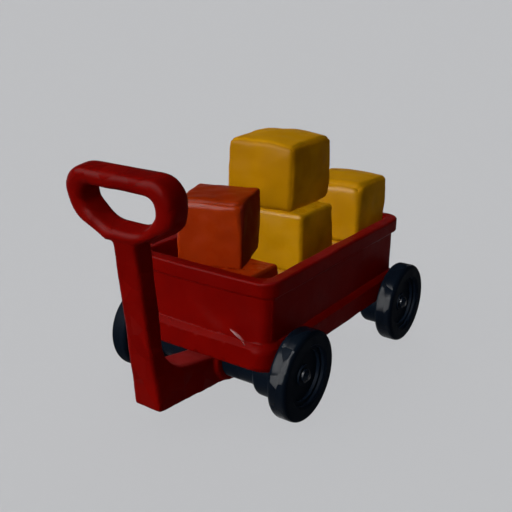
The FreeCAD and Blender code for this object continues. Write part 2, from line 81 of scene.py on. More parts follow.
# lighter, greyer red of the foot's top: painted sheen
FOOT_RED_PAINTED_SHEEN = (0.235, 0.0150, 0.0140, 1.0)
FOOT_RED_PAINTED_SHEEN_DEEP = (0.185, 0.0100, 0.0090, 1.0)
FOOT_RED_PAINTED_SHEEN_WORN_AND_HIGHLIT = (0.270, 0.0250, 0.0220, 1.0)
NAVY = (0.0030, 0.0058, 0.0110, 1.0)
NAVY_DEEP = (0.0018, 0.0036, 0.0075, 1.0)
NAVY_WORN_AND_HIGHLIT = (0.008, 0.012, 0.020, 1.0)
TYRE = (0.0030, 0.0056, 0.0105, 1.0)
TYRE_DEEP = (0.0018, 0.0034, 0.0070, 1.0)
TYRE_WORN_AND_HIGHLIT = (0.010, 0.013, 0.018, 1.0)
ORANGE_RED = (0.275, 0.0235, 0.0003, 1.0)
ORANGE_RED_DEEP = (0.250, 0.0185, 0.0003, 1.0)
ORANGE_RED_WORN_AND_HIGHLIT = (0.310, 0.034, 0.003, 1.0)
# duller orange of the upper red block's top: painted shade
ORANGE_RED_TOP_PAINTED_SHADE = (0.222, 0.0180, 0.0004, 1.0)
ORANGE_RED_TOP_PAINTED_SHADE_DEEP = (0.205, 0.0155, 0.0004, 1.0)
# darker orange of the upper red block's right side: painted shade
ORANGE_RED_PAINTED_SHADE = (0.125, 0.0110, 0.0040, 1.0)
ORANGE_RED_PAINTED_SHADE_DEEP = (0.110, 0.0100, 0.0035, 1.0)
ORANGE_RED_PAINTED_SHADE_WORN_AND_HIGHLIT = (0.150, 0.0200, 0.0080, 1.0)
YELLOW = (0.345, 0.156, 0.0008, 1.0)
YELLOW_DEEP = (0.308, 0.135, 0.0006, 1.0)
YELLOW_WORN_AND_HIGHLIT = (0.430, 0.205, 0.006, 1.0)
# right sides of the yellow blocks: strong mottle between a lighter and a darker yellow, patches
# of painted light and painted shade
YELLOW_SIDE_PAINTED_LIGHT_PATCH = (0.450, 0.195, 0.0010, 1.0)
YELLOW_SIDE_PAINTED_SHADE_PATCH = (0.290, 0.120, 0.0006, 1.0)
# lighter yellow of the middle and back blocks and of the yellow tops: painted light that makes up
# for their shade
PAINTED_LIGHT_YELLOW = (0.427, 0.204, 0.0011, 1.0)
PAINTED_LIGHT_YELLOW_DEEP = (0.383, 0.177, 0.0009, 1.0)
PAINTED_LIGHT_YELLOW_WORN_AND_HIGHLIT = (0.530, 0.260, 0.008, 1.0)
# right sides of the middle and back blocks: the same mottle of painted light and painted shade,
# from the lighter yellow
PAINTED_LIGHT_YELLOW_SIDE_LIGHT_PATCH = (0.480, 0.215, 0.0012, 1.0)
PAINTED_LIGHT_YELLOW_SIDE_SHADE_PATCH = (0.290, 0.130, 0.0008, 1.0)
STEEL = (0.45, 0.45, 0.46, 1.0)
STEEL_DEEP = (0.30, 0.30, 0.31, 1.0)
STEEL_WORN = (0.55, 0.55, 0.56, 1.0)

# noise scales of the plastics, in waves per metre
MOTTLE_SCALE = 16.0
SCUFF_SCALE = 26.0
RUB_SCALE = 90.0
CLOUD_SCALE = 40.0
SINK_MARK_SCALE = 22.0
DIMPLE_SCALE = 95.0
GRAIN_SCALE = 1400.0
# radius of the lighter edges, partly rubbed by use and partly painted highlight
WORN_AND_HIGHLIT_EDGE_RADIUS = 0.0022

# tyres
TREAD_START = 0.0445
AXLES = [Vector(joint["pos_m"]) for joint in frame["record"]["behaviour"]["joints"]
         if joint["name"].endswith("_spin")]

# waves of handle and tray, per metre
SLOW_SCALE = 20.0
QUICK_SCALE = 55.0

# handle
HANDLE_MESH_STEP = 0.0016
GRIP_BOTTOM = 0.215
GRIP_SWELL = 0.0014
GRIP_MIDDLE_Y = -0.2055
GRIP_BACK_FADE = 0.008
GRIP_SOFT_FADE = 0.01
GRIP_ROUNDS = 26
HOLE_FLOOR_Z = 0.231
HOLE_FLOOR_REACH = 0.015
HOLE_FLOOR_HALF_WIDTH = 0.045
HOLE_FLOOR_RISE = 0.0030
UNDERSIDE_LOW = GRIP_BOTTOM - 0.010
UNDERSIDE_HIGH = 0.247
UNDERSIDE_DROP = 0.0032
UNDERSIDE_BACK_SHARE = 1.9
UNDERSIDE_ROUNDS = 12
BAR_HALF_WIDTH = 0.0135
BESIDE_BAR_FADE = 0.004
FOOT_TOP = 0.085

# tray
FRONT_WALL = -0.095
FRONT_FACE = -0.0985
RIM_LOW = 0.150
SIDE_RIM = 0.080
SHOULDER_LOW = 0.074
SHOULDER_HIGH = 0.100
FINE_STEP = 0.0008
MIDDLE_STEP = 0.006
WIDE_STEP = 0.012
SHARP_ANGLE = math.radians(50)
WELD_DISTANCE = 0.00001
MOST_SPLITS = 9

# small fold on the tray's front: its ends across and up, and its size
FOLD_START = Vector((0.0400, 0.0985))
FOLD_END = Vector((0.0640, 0.0857))
FOLD_HEIGHT = 0.0021
FOLD_WIDTH = 0.0034
FOLD_REACH = 0.0155

# soft hollows and swellings of the front wall: place across and up, radius, height outwards
FRONT_DENTS = [
    (-0.004, 0.110, 0.012, 0.0016),
    (0.010, 0.1000, 0.010, 0.0022),
    (0.022, 0.0920, 0.009, 0.0020),
    (0.030, 0.106, 0.014, -0.0016),
    (0.056, 0.106, 0.014, 0.0016),
    (0.074, 0.112, 0.016, -0.0022),
    (0.074, 0.138, 0.018, -0.0016),
]

# blocks
RED_BLOCK_TURN = 19.5
BLOCK_CUTS = 51
EDGE_CROWDING = 0.7
BLOCK_SLOW_SCALE = 24.0
BLOCK_SLOW_HEIGHT = 0.0018
BLOCK_QUICK_SCALE = 62.0
BLOCK_QUICK_HEIGHT = 0.0009
CHIP_SCALE = 110.0
CHIP_LEVEL = 0.12
CHIPPED_FROM = 0.86
ALMOST_ONE = 0.9999


def ramp(value, start, width):
    """Nought up to start, one from width beyond it, and even between them."""
    return min(1.0, max(0.0, (value - start) / width))


def make_camera():
    """Camera at the photograph's place, direction and lens."""
    camera = bpy.data.objects.new("camera", bpy.data.cameras.new("camera"))
    bpy.context.scene.collection.objects.link(camera)
    camera.data.sensor_width = 36.0
    camera.data.lens = CAMERA_LENS
    back = Vector((
        math.sin(CAMERA_AZIMUTH) * math.cos(CAMERA_ELEVATION),
        -math.cos(CAMERA_AZIMUTH) * math.cos(CAMERA_ELEVATION),
        math.sin(CAMERA_ELEVATION),
    ))
    right = (-back).cross(Vector((0, 0, 1))).normalized()
    up = right.cross(-back)
    turned_right = right * math.cos(CAMERA_ROLL) + up * math.sin(CAMERA_ROLL)
    turned_up = up * math.cos(CAMERA_ROLL) - right * math.sin(CAMERA_ROLL)
    turn = Matrix((turned_right, turned_up, back)).transposed()
    camera.matrix_world = Matrix.Translation(CAMERA_PLACE) @ turn.to_4x4()
    bpy.context.scene.camera = camera


def add_sun(name, towards, strength, spread=SPREAD, shadow=True, only_gloss=False):
    """A broad lamp far away, in the direction that towards points."""
    lamp = bpy.data.lights.new(name, "SUN")
    lamp.energy = strength
    lamp.angle = math.radians(spread)
    holder = bpy.data.objects.new(name, lamp)
    bpy.context.scene.collection.objects.link(holder)
    holder.rotation_mode = "QUATERNION"
    holder.rotation_quaternion = Vector(towards).to_track_quat("Z", "Y")
    holder.visible_diffuse = not only_gloss
    holder.visible_glossy = only_gloss
    lamp.use_shadow = shadow
    lamp.cycles.use_multiple_importance_sampling = shadow


def light_the_scene():
    """Soft key from the front left, and weak fills from the front, the rear and above.

    The open lamps cast no shadow, so that the shadows of the others stay light.
    Only the glint shows in gloss.
    """
    add_sun("key", KEY_DIRECTION, 0.5)
    add_sun("key_open", KEY_DIRECTION, 2.75, shadow=False)
    add_sun("front_open", (0.30, -0.95, 0.05), 0.45, shadow=False)
    add_sun("rear_fill", (-0.60, 0.75, 0.30), 0.5)
    add_sun("sky", (0.0, 0.0, 1.0), 0.25, WIDE_SPREAD)
    add_sun("sky_open", (0.0, 0.0, 1.0), 0.20, shadow=False)
    add_sun("glint", GLINT_DIRECTION, 26.0, shadow=False, only_gloss=True)


def make_world():
    """Dim room with a pale band along the horizon."""
    world = bpy.data.worlds.new("room")
    bpy.context.scene.world = world
    world.use_nodes = True
    tree = world.node_tree
    background = tree.nodes["Background"]
    coordinates = tree.nodes.new("ShaderNodeTexCoord")
    split = tree.nodes.new("ShaderNodeSeparateXYZ")
    tree.links.new(coordinates.outputs["Generated"], split.inputs[0])
    band = tree.nodes.new("ShaderNodeMapRange")
    band.inputs["From Min"].default_value = PALE_BAND_TOP
    band.inputs["From Max"].default_value = DIM_ROOM_FOOT
    band.interpolation_type = "SMOOTHSTEP"
    tree.links.new(split.outputs["Z"], band.inputs["Value"])
    colour = tree.nodes.new("ShaderNodeMix")
    colour.data_type = "RGBA"
    colour.inputs["A"].default_value = PALE_GREY
    colour.inputs["B"].default_value = DIM_GREY
    tree.links.new(band.outputs["Result"], colour.inputs["Factor"])
    tree.links.new(colour.outputs["Result"], background.inputs["Color"])


def floor_material():
    """Pale floor that shows its own colour to the eye and keeps a soft shadow."""
    material = bpy.data.materials.new("pale_floor")
    material.use_nodes = True
    tree = material.node_tree
    nodes, links = tree.nodes, tree.links
    shader = nodes["Principled BSDF"]
    shader.inputs["Base Color"].default_value = FLOOR_GREY
    shader.inputs["Roughness"].default_value = 0.9
    shader.inputs["Specular IOR Level"].default_value = 0.0
    glow = nodes.new("ShaderNodeEmission")
    glow.inputs["Color"].default_value = PALE_GREY
    glow.inputs["Strength"].default_value = 0.0
    paths = nodes.new("ShaderNodeLightPath")
    seen = nodes.new("ShaderNodeMath")
    seen.operation = "MAXIMUM"
    links.new(paths.outputs["Is Camera Ray"], seen.inputs[0])
    links.new(paths.outputs["Is Glossy Ray"], seen.inputs[1])
    seen_through = nodes.new("ShaderNodeMath")
    seen_through.operation = "MAXIMUM"
    links.new(seen.outputs[0], seen_through.inputs[0])
    links.new(paths.outputs["Is Transmission Ray"], seen_through.inputs[1])
    glow_share = nodes.new("ShaderNodeMath")
    glow_share.operation = "MULTIPLY"
    glow_share.inputs[1].default_value = FLOOR_GLOW
    links.new(seen_through.outputs[0], glow_share.inputs[0])
    links.new(glow_share.outputs[0], glow.inputs["Strength"])
    both = nodes.new("ShaderNodeAddShader")
    links.new(glow.outputs[0], both.inputs[0])
    links.new(shader.outputs[0], both.inputs[1])
    links.new(both.outputs[0], nodes["Material Output"].inputs["Surface"])
    return material


def make_floor():
    """One large flat square at the wheels' foot."""
    half = FLOOR_HALF
    mesh = bpy.data.meshes.new("floor")
    corners = [(-half, -half, 0), (half, -half, 0), (half, half, 0), (-half, half, 0)]
    mesh.from_pydata(corners, [], [(0, 1, 2, 3)])
    floor = bpy.data.objects.new("floor", mesh)
    bpy.context.scene.collection.objects.link(floor)
    mesh.materials.append(floor_material())


class Tree:
    """Small helper that adds nodes to one material."""

    def __init__(self, name):
        self.material = bpy.data.materials.new(name)
        self.material.use_nodes = True
        self.nodes = self.material.node_tree.nodes
        self.links = self.material.node_tree.links
        self.shader = self.nodes["Principled BSDF"]
        self.place = self.nodes.new("ShaderNodeTexCoord").outputs["Object"]

    def noise(self, scale, detail=2.0, roughness=0.5, stretch=None):
        """Noise over the piece, scale in waves per metre."""
        node = self.nodes.new("ShaderNodeTexNoise")
        node.inputs["Scale"].default_value = scale
        node.inputs["Detail"].default_value = detail
        node.inputs["Roughness"].default_value = roughness
        source = self.place
        if stretch is not None:
            mapping = self.nodes.new("ShaderNodeMapping")
            mapping.inputs["Scale"].default_value = stretch
            self.links.new(source, mapping.inputs["Vector"])
            source = mapping.outputs["Vector"]
        self.links.new(source, node.inputs["Vector"])
        return node.outputs["Fac"]

    def spread(self, value, low, high, to_low=0.0, to_high=1.0):
        """Part of a value's range, stretched over another range."""
        node = self.nodes.new("ShaderNodeMapRange")
        node.inputs["From Min"].default_value = low
        node.inputs["From Max"].default_value = high
        node.inputs["To Min"].default_value = to_low
        node.inputs["To Max"].default_value = to_high
        self.links.new(value, node.inputs["Value"])
        return node.outputs["Result"]

    def math(self, operation, first, second):
        """Result of an operation on two values, each a number or a socket."""
        node = self.nodes.new("ShaderNodeMath")
        node.operation = operation
        for socket, value in zip(node.inputs, (first, second)):
            if isinstance(value, (int, float)):
                socket.default_value = value
            else:
                self.links.new(value, socket)
        return node.outputs[0]

    def vector(self, operation, first, second, third=None):
        """Result of an operation on vectors, each a tuple or a socket."""
        node = self.nodes.new("ShaderNodeVectorMath")
        node.operation = operation
        for socket, value in zip(node.inputs, (first, second, third)):
            if isinstance(value, tuple):
                socket.default_value = value
            elif value is not None:
                self.links.new(value, socket)
        return node.outputs["Value" if operation == "DOT_PRODUCT" else "Vector"]

    def mix(self, factor, first, second):
        """Colour between two colours."""
        node = self.nodes.new("ShaderNodeMix")
        node.data_type = "RGBA"
        self.links.new(factor, node.inputs["Factor"])
        for socket, value in ((node.inputs["A"], first), (node.inputs["B"], second)):
            if isinstance(value, tuple):
                socket.default_value = value
            else:
                self.links.new(value, socket)
        return node.outputs["Result"]

    def bump(self, height, distance, strength, below=None):
        """Relief of a height map, on top of another relief if one is given."""
        node = self.nodes.new("ShaderNodeBump")
        node.inputs["Distance"].default_value = distance
        node.inputs["Strength"].default_value = strength
        self.links.new(height, node.inputs["Height"])
        if below is not None:
            self.links.new(below, node.inputs["Normal"])
        return node.outputs["Normal"]

    def facets(self, across, lean):
        """Height of flat patches about as wide as across, each with its own lean."""
        cells = self.nodes.new("ShaderNodeTexVoronoi")
        cells.inputs["Scale"].default_value = 1.0 / across
        self.links.new(self.place, cells.inputs["Vector"])
        from_middle = self.vector("SUBTRACT", self.place, cells.outputs["Position"])
        slope = self.vector("MULTIPLY_ADD", cells.outputs["Color"],
                            (2 * lean,) * 3, (-lean,) * 3)
        return self.vector("DOT_PRODUCT", from_middle, slope)

    def facing_out(self):
        """One on a tread, nought on a wheel's flat sides."""
        geometry = self.nodes.new("ShaderNodeNewGeometry")
        split = self.nodes.new("ShaderNodeSeparateXYZ")
        self.links.new(geometry.outputs["True Normal"], split.inputs[0])
        sideways = self.math("ABSOLUTE", split.outputs["X"], 0.0)
        return self.spread(sideways, 0.35, 0.60, 1.0, 0.0)

    def edges(self, radius):
        """One along outer and inner edges, nought on smooth faces."""
        bevel = self.nodes.new("ShaderNodeBevel")
        bevel.samples = 6
        bevel.inputs["Radius"].default_value = radius
        geometry = self.nodes.new("ShaderNodeNewGeometry")
        likeness = self.vector("DOT_PRODUCT", bevel.outputs["Normal"], geometry.outputs["Normal"])
        return self.spread(likeness, 1.0, 0.90)


class Moulding:
    """How one sort of moulding wears and how much painted highlight its edges carry, how high its
    sink marks are and where it is carved.
    """

    def __init__(self, wear_and_highlight_share, wave_height, carved_only_on_tread=False):
        self.wear_and_highlight_share = wear_and_highlight_share
        self.wave_height = wave_height
        self.carved_only_on_tread = carved_only_on_tread


LARGE_MOULDING = Moulding(0.5, 0.0016)
HOUSING_MOULDING = Moulding(0.5, 0.0014)
TYRE_MOULDING = Moulding(0.4, 0.0014)
TREAD_MOULDING = Moulding(0.4, 0.0014, carved_only_on_tread=True)
WHEEL_MOULDING = Moulding(0.4, 0.0012)
BLOCK_MOULDING = Moulding(0.25, 0.0009)


def plastic(name, colours, roughness, specular, moulding, facets=None):
    """Moulded plastic: mottled tone, faint grain, sink marks, scuffs, and lighter rubbed edges
    that are partly painted highlight.

    facets gives the width and the lean of flat patches, as if carved.
    """
    colour, deep, worn_and_highlit = colours
    tree = Tree(name)
    mottle = tree.spread(tree.noise(MOTTLE_SCALE, 3.0, 0.55), 0.34, 0.66)
    tone = tree.mix(mottle, deep, colour)
    scuff_lines = tree.noise(SCUFF_SCALE, 4.0, 0.62, stretch=(1.0, 9.0, 2.2))
    scuffs = tree.spread(scuff_lines, 0.63, 0.72, 0.0, 0.3 * moulding.wear_and_highlight_share)
    rub = tree.spread(tree.noise(RUB_SCALE, 4.0, 0.6), 0.50, 0.70)
    # lighter edges, partly rubbed by use and partly painted highlight
    worn_and_highlit_edges = tree.math("MULTIPLY", tree.edges(WORN_AND_HIGHLIT_EDGE_RADIUS), rub)
    wear_and_edge_highlight = tree.math("MAXIMUM", tree.math("MULTIPLY", worn_and_highlit_edges, moulding.wear_and_highlight_share), scuffs)
    tree.links.new(tree.mix(wear_and_edge_highlight, tone, worn_and_highlit), tree.shader.inputs["Base Color"])
    clouds = tree.noise(CLOUD_SCALE, 3.0, 0.6)
    cloudy = tree.spread(clouds, 0.3, 0.7, roughness - 0.05, roughness + 0.07)
    rough = tree.math("ADD", cloudy, tree.math("MULTIPLY", wear_and_edge_highlight, 0.25))
    tree.links.new(rough, tree.shader.inputs["Roughness"])
    waves = tree.bump(tree.noise(SINK_MARK_SCALE, 2.0, 0.45), moulding.wave_height, 0.6)
    if facets is not None:
        patches = tree.facets(*facets)
        if moulding.carved_only_on_tread:
            patches = tree.math("MULTIPLY", patches, tree.facing_out())
        waves = tree.bump(patches, 1.0, 1.0, waves)
    dimples = tree.bump(tree.noise(DIMPLE_SCALE), 0.0006, 0.35, waves)
    grain = tree.bump(tree.noise(GRAIN_SCALE), 0.00012, 0.35, dimples)
    tree.links.new(grain, tree.shader.inputs["Normal"])
    tree.shader.inputs["Specular IOR Level"].default_value = specular
    return tree.material


def drawn_steel():
    """Bright steel rod with fine lines along it."""
    tree = Tree("drawn_steel")
    lines = tree.noise(60.0, 4.0, 0.6, stretch=(1.0, 18.0, 18.0))
    tone = tree.mix(tree.spread(lines, 0.3, 0.7), STEEL_DEEP, STEEL)
    spots = tree.spread(tree.noise(120.0, 3.0), 0.62, 0.75)
    tree.links.new(tree.mix(spots, tone, STEEL_WORN), tree.shader.inputs["Base Color"])
    tree.links.new(tree.spread(lines, 0.2, 0.8, 0.25, 0.45), tree.shader.inputs["Roughness"])
    tree.links.new(tree.bump(lines, 0.0002, 0.4), tree.shader.inputs["Normal"])
    tree.shader.inputs["Metallic"].default_value = 1.0
    return tree.material


def make_materials():
    """The materials of the record's slots, and those of faces that differ in gloss, or in tone by
    painted light, painted shade or painted sheen.
    """
    reds = (RED, RED_DEEP, RED_WORN_AND_HIGHLIT)
    rim_reds_painted_sheen = (RIM_RED_PAINTED_SHEEN, RED, RIM_RED_PAINTED_SHEEN_WORN_AND_HIGHLIT)
    foot_reds_painted_sheen = (FOOT_RED_PAINTED_SHEEN, FOOT_RED_PAINTED_SHEEN_DEEP, FOOT_RED_PAINTED_SHEEN_WORN_AND_HIGHLIT)
    navies = (NAVY, NAVY_DEEP, NAVY_WORN_AND_HIGHLIT)
    tyres = (TYRE, TYRE_DEEP, TYRE_WORN_AND_HIGHLIT)
    oranges = (ORANGE_RED, ORANGE_RED_DEEP, ORANGE_RED_WORN_AND_HIGHLIT)
    painted_shade_top_oranges = (ORANGE_RED_TOP_PAINTED_SHADE, ORANGE_RED_TOP_PAINTED_SHADE_DEEP, ORANGE_RED_WORN_AND_HIGHLIT)
    painted_shade_oranges = (ORANGE_RED_PAINTED_SHADE, ORANGE_RED_PAINTED_SHADE_DEEP, ORANGE_RED_PAINTED_SHADE_WORN_AND_HIGHLIT)
    yellows = (YELLOW, YELLOW_DEEP, YELLOW_WORN_AND_HIGHLIT)
    yellow_sides_painted_light_and_shade = (YELLOW_SIDE_PAINTED_LIGHT_PATCH, YELLOW_SIDE_PAINTED_SHADE_PATCH, YELLOW_WORN_AND_HIGHLIT)
    painted_light_yellows = (PAINTED_LIGHT_YELLOW, PAINTED_LIGHT_YELLOW_DEEP, PAINTED_LIGHT_YELLOW_WORN_AND_HIGHLIT)
    painted_light_yellow_sides_light_and_shade = (PAINTED_LIGHT_YELLOW_SIDE_LIGHT_PATCH, PAINTED_LIGHT_YELLOW_SIDE_SHADE_PATCH, PAINTED_LIGHT_YELLOW_WORN_AND_HIGHLIT)
    rows = [
        ("red_plastic", reds, 0.34, 0.006, LARGE_MOULDING, (0.060, 0.015)),
        ("red_handle", reds, 0.34, 0.007, LARGE_MOULDING, (0.026, 0.12)),
        ("red_fold", reds, 0.20, 0.055, LARGE_MOULDING),
        ("red_shoulder", reds, 0.42, 0.003, LARGE_MOULDING, (0.060, 0.015)),
        ("red_rim_painted_sheen", rim_reds_painted_sheen, 0.34, 0.018, LARGE_MOULDING),
        ("red_foot_painted_sheen", foot_reds_painted_sheen, 0.36, 0.010, LARGE_MOULDING),
        ("navy_plastic", navies, 0.30, 0.012, HOUSING_MOULDING, (0.030, 0.08)),
        ("tyre_plastic", tyres, 0.22, 0.022, TREAD_MOULDING, (0.028, 0.26)),
        ("tyre_sides", tyres, 0.45, 0.004, TYRE_MOULDING, (0.030, 0.03)),
        ("wheel_plastic", navies, 0.40, 0.004, WHEEL_MOULDING, (0.016, 0.05)),
        ("cap_plastic", navies, 0.22, 0.06, WHEEL_MOULDING, (0.008, 0.20)),
        ("red_block_plastic", oranges, 0.27, 0.032, BLOCK_MOULDING),
        ("red_block_painted_shade_side", painted_shade_oranges, 0.40, 0.005, BLOCK_MOULDING),
        ("red_block_painted_shade_top", painted_shade_top_oranges, 0.30, 0.016, BLOCK_MOULDING),
        ("yellow_block_plastic", yellows, 0.30, 0.011, BLOCK_MOULDING),
        ("yellow_side_painted_light_and_shade", yellow_sides_painted_light_and_shade, 0.40, 0.005, BLOCK_MOULDING),
        ("yellow_block_painted_light", painted_light_yellows, 0.28, 0.032, BLOCK_MOULDING),
        ("painted_light_yellow_side_light_and_shade", painted_light_yellow_sides_light_and_shade, 0.40, 0.005, BLOCK_MOULDING),
        ("yellow_top_painted_light", painted_light_yellows, 0.40, 0.005, BLOCK_MOULDING),
    ]
    materials = {row[0]: plastic(*row) for row in rows}
    materials["steel"] = drawn_steel()
    return materials


def paint_cad_nodes(materials):
    """Give each CAD node the material of its slot, and the caps one of their own."""
    for row in frame["record"]["subparts"]:
        node = frame["nodes"][row["node"]]
        node.data.materials.clear()
        own = "cap_plastic" if row["node"].endswith("_axle_cap") else row["material_slot"]
        node.data.materials.append(materials[own])


def applied(piece):
    """Turn a piece's modifiers into plain mesh."""
    graph = bpy.context.evaluated_depsgraph_get()
    mesh = bpy.data.meshes.new_from_object(piece.evaluated_get(graph))
    mesh.name = piece.name
    piece.modifiers.clear()
    piece.data = mesh


def smooth_more(piece, rounds, weight_of):
    """Soften the mesh where weight_of gives a weight above nought."""
    group = piece.vertex_groups.new(name="soft")
    for vertex in piece.data.vertices:
        weight = weight_of(vertex.co)
        if weight > 0:
            group.add([vertex.index], weight, "REPLACE")
    modifier = piece.modifiers.new("soften", "SMOOTH")
    modifier.factor = 0.5
    modifier.iterations = rounds
    modifier.vertex_group = group.name
    applied(piece)
    piece.vertex_groups.clear()


def unevenness(piece, seed, slow_height, quick_height):
    """Slight waves of a hand-finished mould."""
    for vertex in piece.data.vertices:
        slow = noise.noise_vector(vertex.co * SLOW_SCALE + Vector((seed, 0, 0)))
        quick = noise.noise_vector(vertex.co * QUICK_SCALE + Vector((0, seed, 0)))
        vertex.co += slow * slow_height + quick * quick_height


def moulded_copy(node, body, material, step, rounds):
    """Even, softly rounded mesh in place of a CAD node; step is its mesh's step."""
    piece = bpy.data.objects.new(node + "_look", frame["nodes"][node].data.copy())
    bpy.context.scene.collection.objects.link(piece)
    remesh = piece.modifiers.new("even", "REMESH")
    remesh.mode = "VOXEL"
    remesh.voxel_size = step
    smooth = piece.modifiers.new("soft", "SMOOTH")
    smooth.factor = 0.5
    smooth.iterations = rounds
    applied(piece)
    for face in piece.data.polygons:
        face.use_smooth = True
    piece.data.materials.clear()
    piece.data.materials.append(material)
    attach(piece, body)
    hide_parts(node)
    return piece


def fine_copy(node, body, material, longest):
    """The CAD node's own shape in small triangles, so that it can be bent.

    longest tells the longest edge that is allowed at a place.
    """
    mesh = frame["nodes"][node].data.copy()
    maker = bmesh.new()
    maker.from_mesh(mesh)
    bmesh.ops.remove_doubles(maker, verts=maker.verts[:], dist=WELD_DISTANCE)
    for _ in range(MOST_SPLITS):
        long_edges = [
            edge for edge in maker.edges
            if edge.calc_length() > longest((edge.verts[0].co + edge.verts[1].co) / 2)
        ]
        if not long_edges:
            break
        bmesh.ops.subdivide_edges(maker, edges=long_edges, cuts=1)
        bmesh.ops.triangulate(maker, faces=[face for face in maker.faces if len(face.verts) > 3])
    maker.to_mesh(mesh)
    maker.free()
    mesh.name = node + "_look"
    piece = bpy.data.objects.new(node + "_look", mesh)
    bpy.context.scene.collection.objects.link(piece)
    mesh.materials.clear()
    mesh.materials.append(material)
    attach(piece, body)
    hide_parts(node)
    return piece


def swell_grip(piece):
    """Make the grip a little thicker, and round it well."""
    for vertex, normal in [(vertex, vertex.normal.copy()) for vertex in piece.data.vertices]:
        if vertex.co.z > GRIP_BOTTOM:
            vertex.co += normal * GRIP_SWELL
    smooth_more(piece, GRIP_ROUNDS, lambda point: ramp(point.z, GRIP_BOTTOM, GRIP_SOFT_FADE))


def raise_hole_floor(piece):
    """Lift the back of the hole's floor in a shallow arch."""
    for vertex in piece.data.vertices:
        x, y, z = vertex.co
        back = ramp(y, GRIP_MIDDLE_Y, GRIP_BACK_FADE)
        if abs(x) < HOLE_FLOOR_HALF_WIDTH:
            inside = max(0.0, 1 - abs(z - HOLE_FLOOR_Z) / HOLE_FLOOR_REACH)
            arch = 1 - (x / HOLE_FLOOR_HALF_WIDTH) ** 2
            vertex.co.z += HOLE_FLOOR_RISE * back * inside * arch


def fill_underside(piece):
    """Push the grip's underside out beside the bar, on the right only at its back."""
    normals = [vertex.normal.copy() for vertex in piece.data.vertices]
    for vertex, normal in zip(piece.data.vertices, normals):
        x, y, z = vertex.co
        if UNDERSIDE_LOW < z < UNDERSIDE_HIGH and normal.z < 0:
            share = 1.0
            if x >= 0:
                share = UNDERSIDE_BACK_SHARE * ramp(y, GRIP_MIDDLE_Y, GRIP_BACK_FADE)
            beside_bar = ramp(abs(x), BAR_HALF_WIDTH, BESIDE_BAR_FADE)
            fade = min(1.0, (z - UNDERSIDE_LOW) / 0.008, (UNDERSIDE_HIGH - z) / 0.018)
            facing_down = min(1.0, -1.6 * normal.z)
            vertex.co += normal * (UNDERSIDE_DROP * share * beside_bar * fade * facing_down)
    smooth_more(piece, UNDERSIDE_ROUNDS,
                lambda point: ramp(point.z, UNDERSIDE_LOW, GRIP_SOFT_FADE))


def make_handle(materials):
    """The handle, rounder at its grip than the solid, with a lighter top of its foot, a painted
    sheen.
    """
    piece = moulded_copy("handle", "handle", materials["red_handle"],
                         step=HANDLE_MESH_STEP, rounds=5)
    swell_grip(piece)
    unevenness(piece, seed=2.9, slow_height=0.0010, quick_height=0.0005)
    raise_hole_floor(piece)
    # the top of the foot takes a lighter, greyer red: painted sheen
    piece.data.materials.append(materials["red_foot_painted_sheen"])
    for face in piece.data.polygons:
        if face.center.z < FOOT_TOP and face.normal.z > 0.6:
            face.material_index = 1
    fill_underside(piece)


def fold_height(across, up):
    """How far the small fold at the tray's front stands out, at a place of the front wall."""
    along = FOLD_END - FOLD_START
    place = Vector((across, up)) - FOLD_START
    share = place.dot(along) / along.length_squared
    if share <= 0 or share >= 1:
        return 0.0
    above = (place.x * -along.y + place.y * along.x) / along.length
    fullness = (share * (1 - share) * 4) ** 0.7
    width = FOLD_WIDTH * fullness
    if above >= 0:
        part = max(0.0, 1 - above / width)
    else:
        part = max(0.0, 1 + above / (0.35 * width))
    return FOLD_HEIGHT * part * fullness


def tray_step(point):
    """Longest edge of the tray's mesh at a place."""
    middle = (FOLD_START + FOLD_END) / 2
    at_front = point.y < FRONT_WALL
    if at_front and (Vector((point.x, point.z)) - middle).length < FOLD_REACH:
        return FINE_STEP
    return MIDDLE_STEP if at_front or point.z < SHOULDER_HIGH else WIDE_STEP


def make_tray(materials):
    """The tray with slightly wavy walls, soft dents and a small fold at the front."""
    piece = fine_copy("tray", "wagon", materials["red_plastic"], tray_step)
    for vertex in piece.data.vertices:
        x, y, z = vertex.co
        if y < FRONT_FACE:
            out = sum(height * math.exp(-((x - across) ** 2 + (z - up) ** 2) / radius ** 2)
                      for across, up, radius, height in FRONT_DENTS)
            vertex.co.y -= out + fold_height(x, z)
    for name in ("red_fold", "red_shoulder", "red_rim_painted_sheen"):
        piece.data.materials.append(materials[name])
    for face in piece.data.polygons:
        x, y, z = face.center
        if y < FRONT_FACE and fold_height(x, z) > 0.25 * FOLD_HEIGHT:
            face.material_index = 1
        elif SHOULDER_LOW < z < SHOULDER_HIGH and 0.2 < face.normal.z < 0.98:
            face.material_index = 2
        # tops of the side rims take the lighter, greyer red: painted sheen
        elif z > RIM_LOW and abs(x) > SIDE_RIM and face.normal.z > 0.6:
            face.material_index = 3
    unevenness(piece, seed=7.7, slow_height=0.0009, quick_height=0.0002)
    piece.data.shade_smooth()
    piece.data.set_sharp_from_angle(angle=SHARP_ANGLE)


def is_tread(face):
    """Whether a face of a tyre lies on its tread."""
    middle = face.calc_center_median()
    from_axle = min(math.hypot(middle.y - axle.y, middle.z - axle.z) for axle in AXLES)
    return abs(face.normal.x) < 0.5 and from_axle > TREAD_START


def tyre_part(node, part, material, keep):
    """The part of a tyre's surface whose faces keep says yes to."""
    mesh = frame["nodes"][node].data.copy()
    maker = bmesh.new()
    maker.from_mesh(mesh)
    unwanted = [face for face in maker.faces if not keep(face)]
    bmesh.ops.delete(maker, geom=unwanted, context="FACES")
    maker.to_mesh(mesh)
    maker.free()
    mesh.name = node + part
    piece = bpy.data.objects.new(node + part, mesh)
    bpy.context.scene.collection.objects.link(piece)
    mesh.materials.clear()
    mesh.materials.append(material)
    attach(piece, node.replace("_tyre", "_wheel"))
    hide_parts(node)


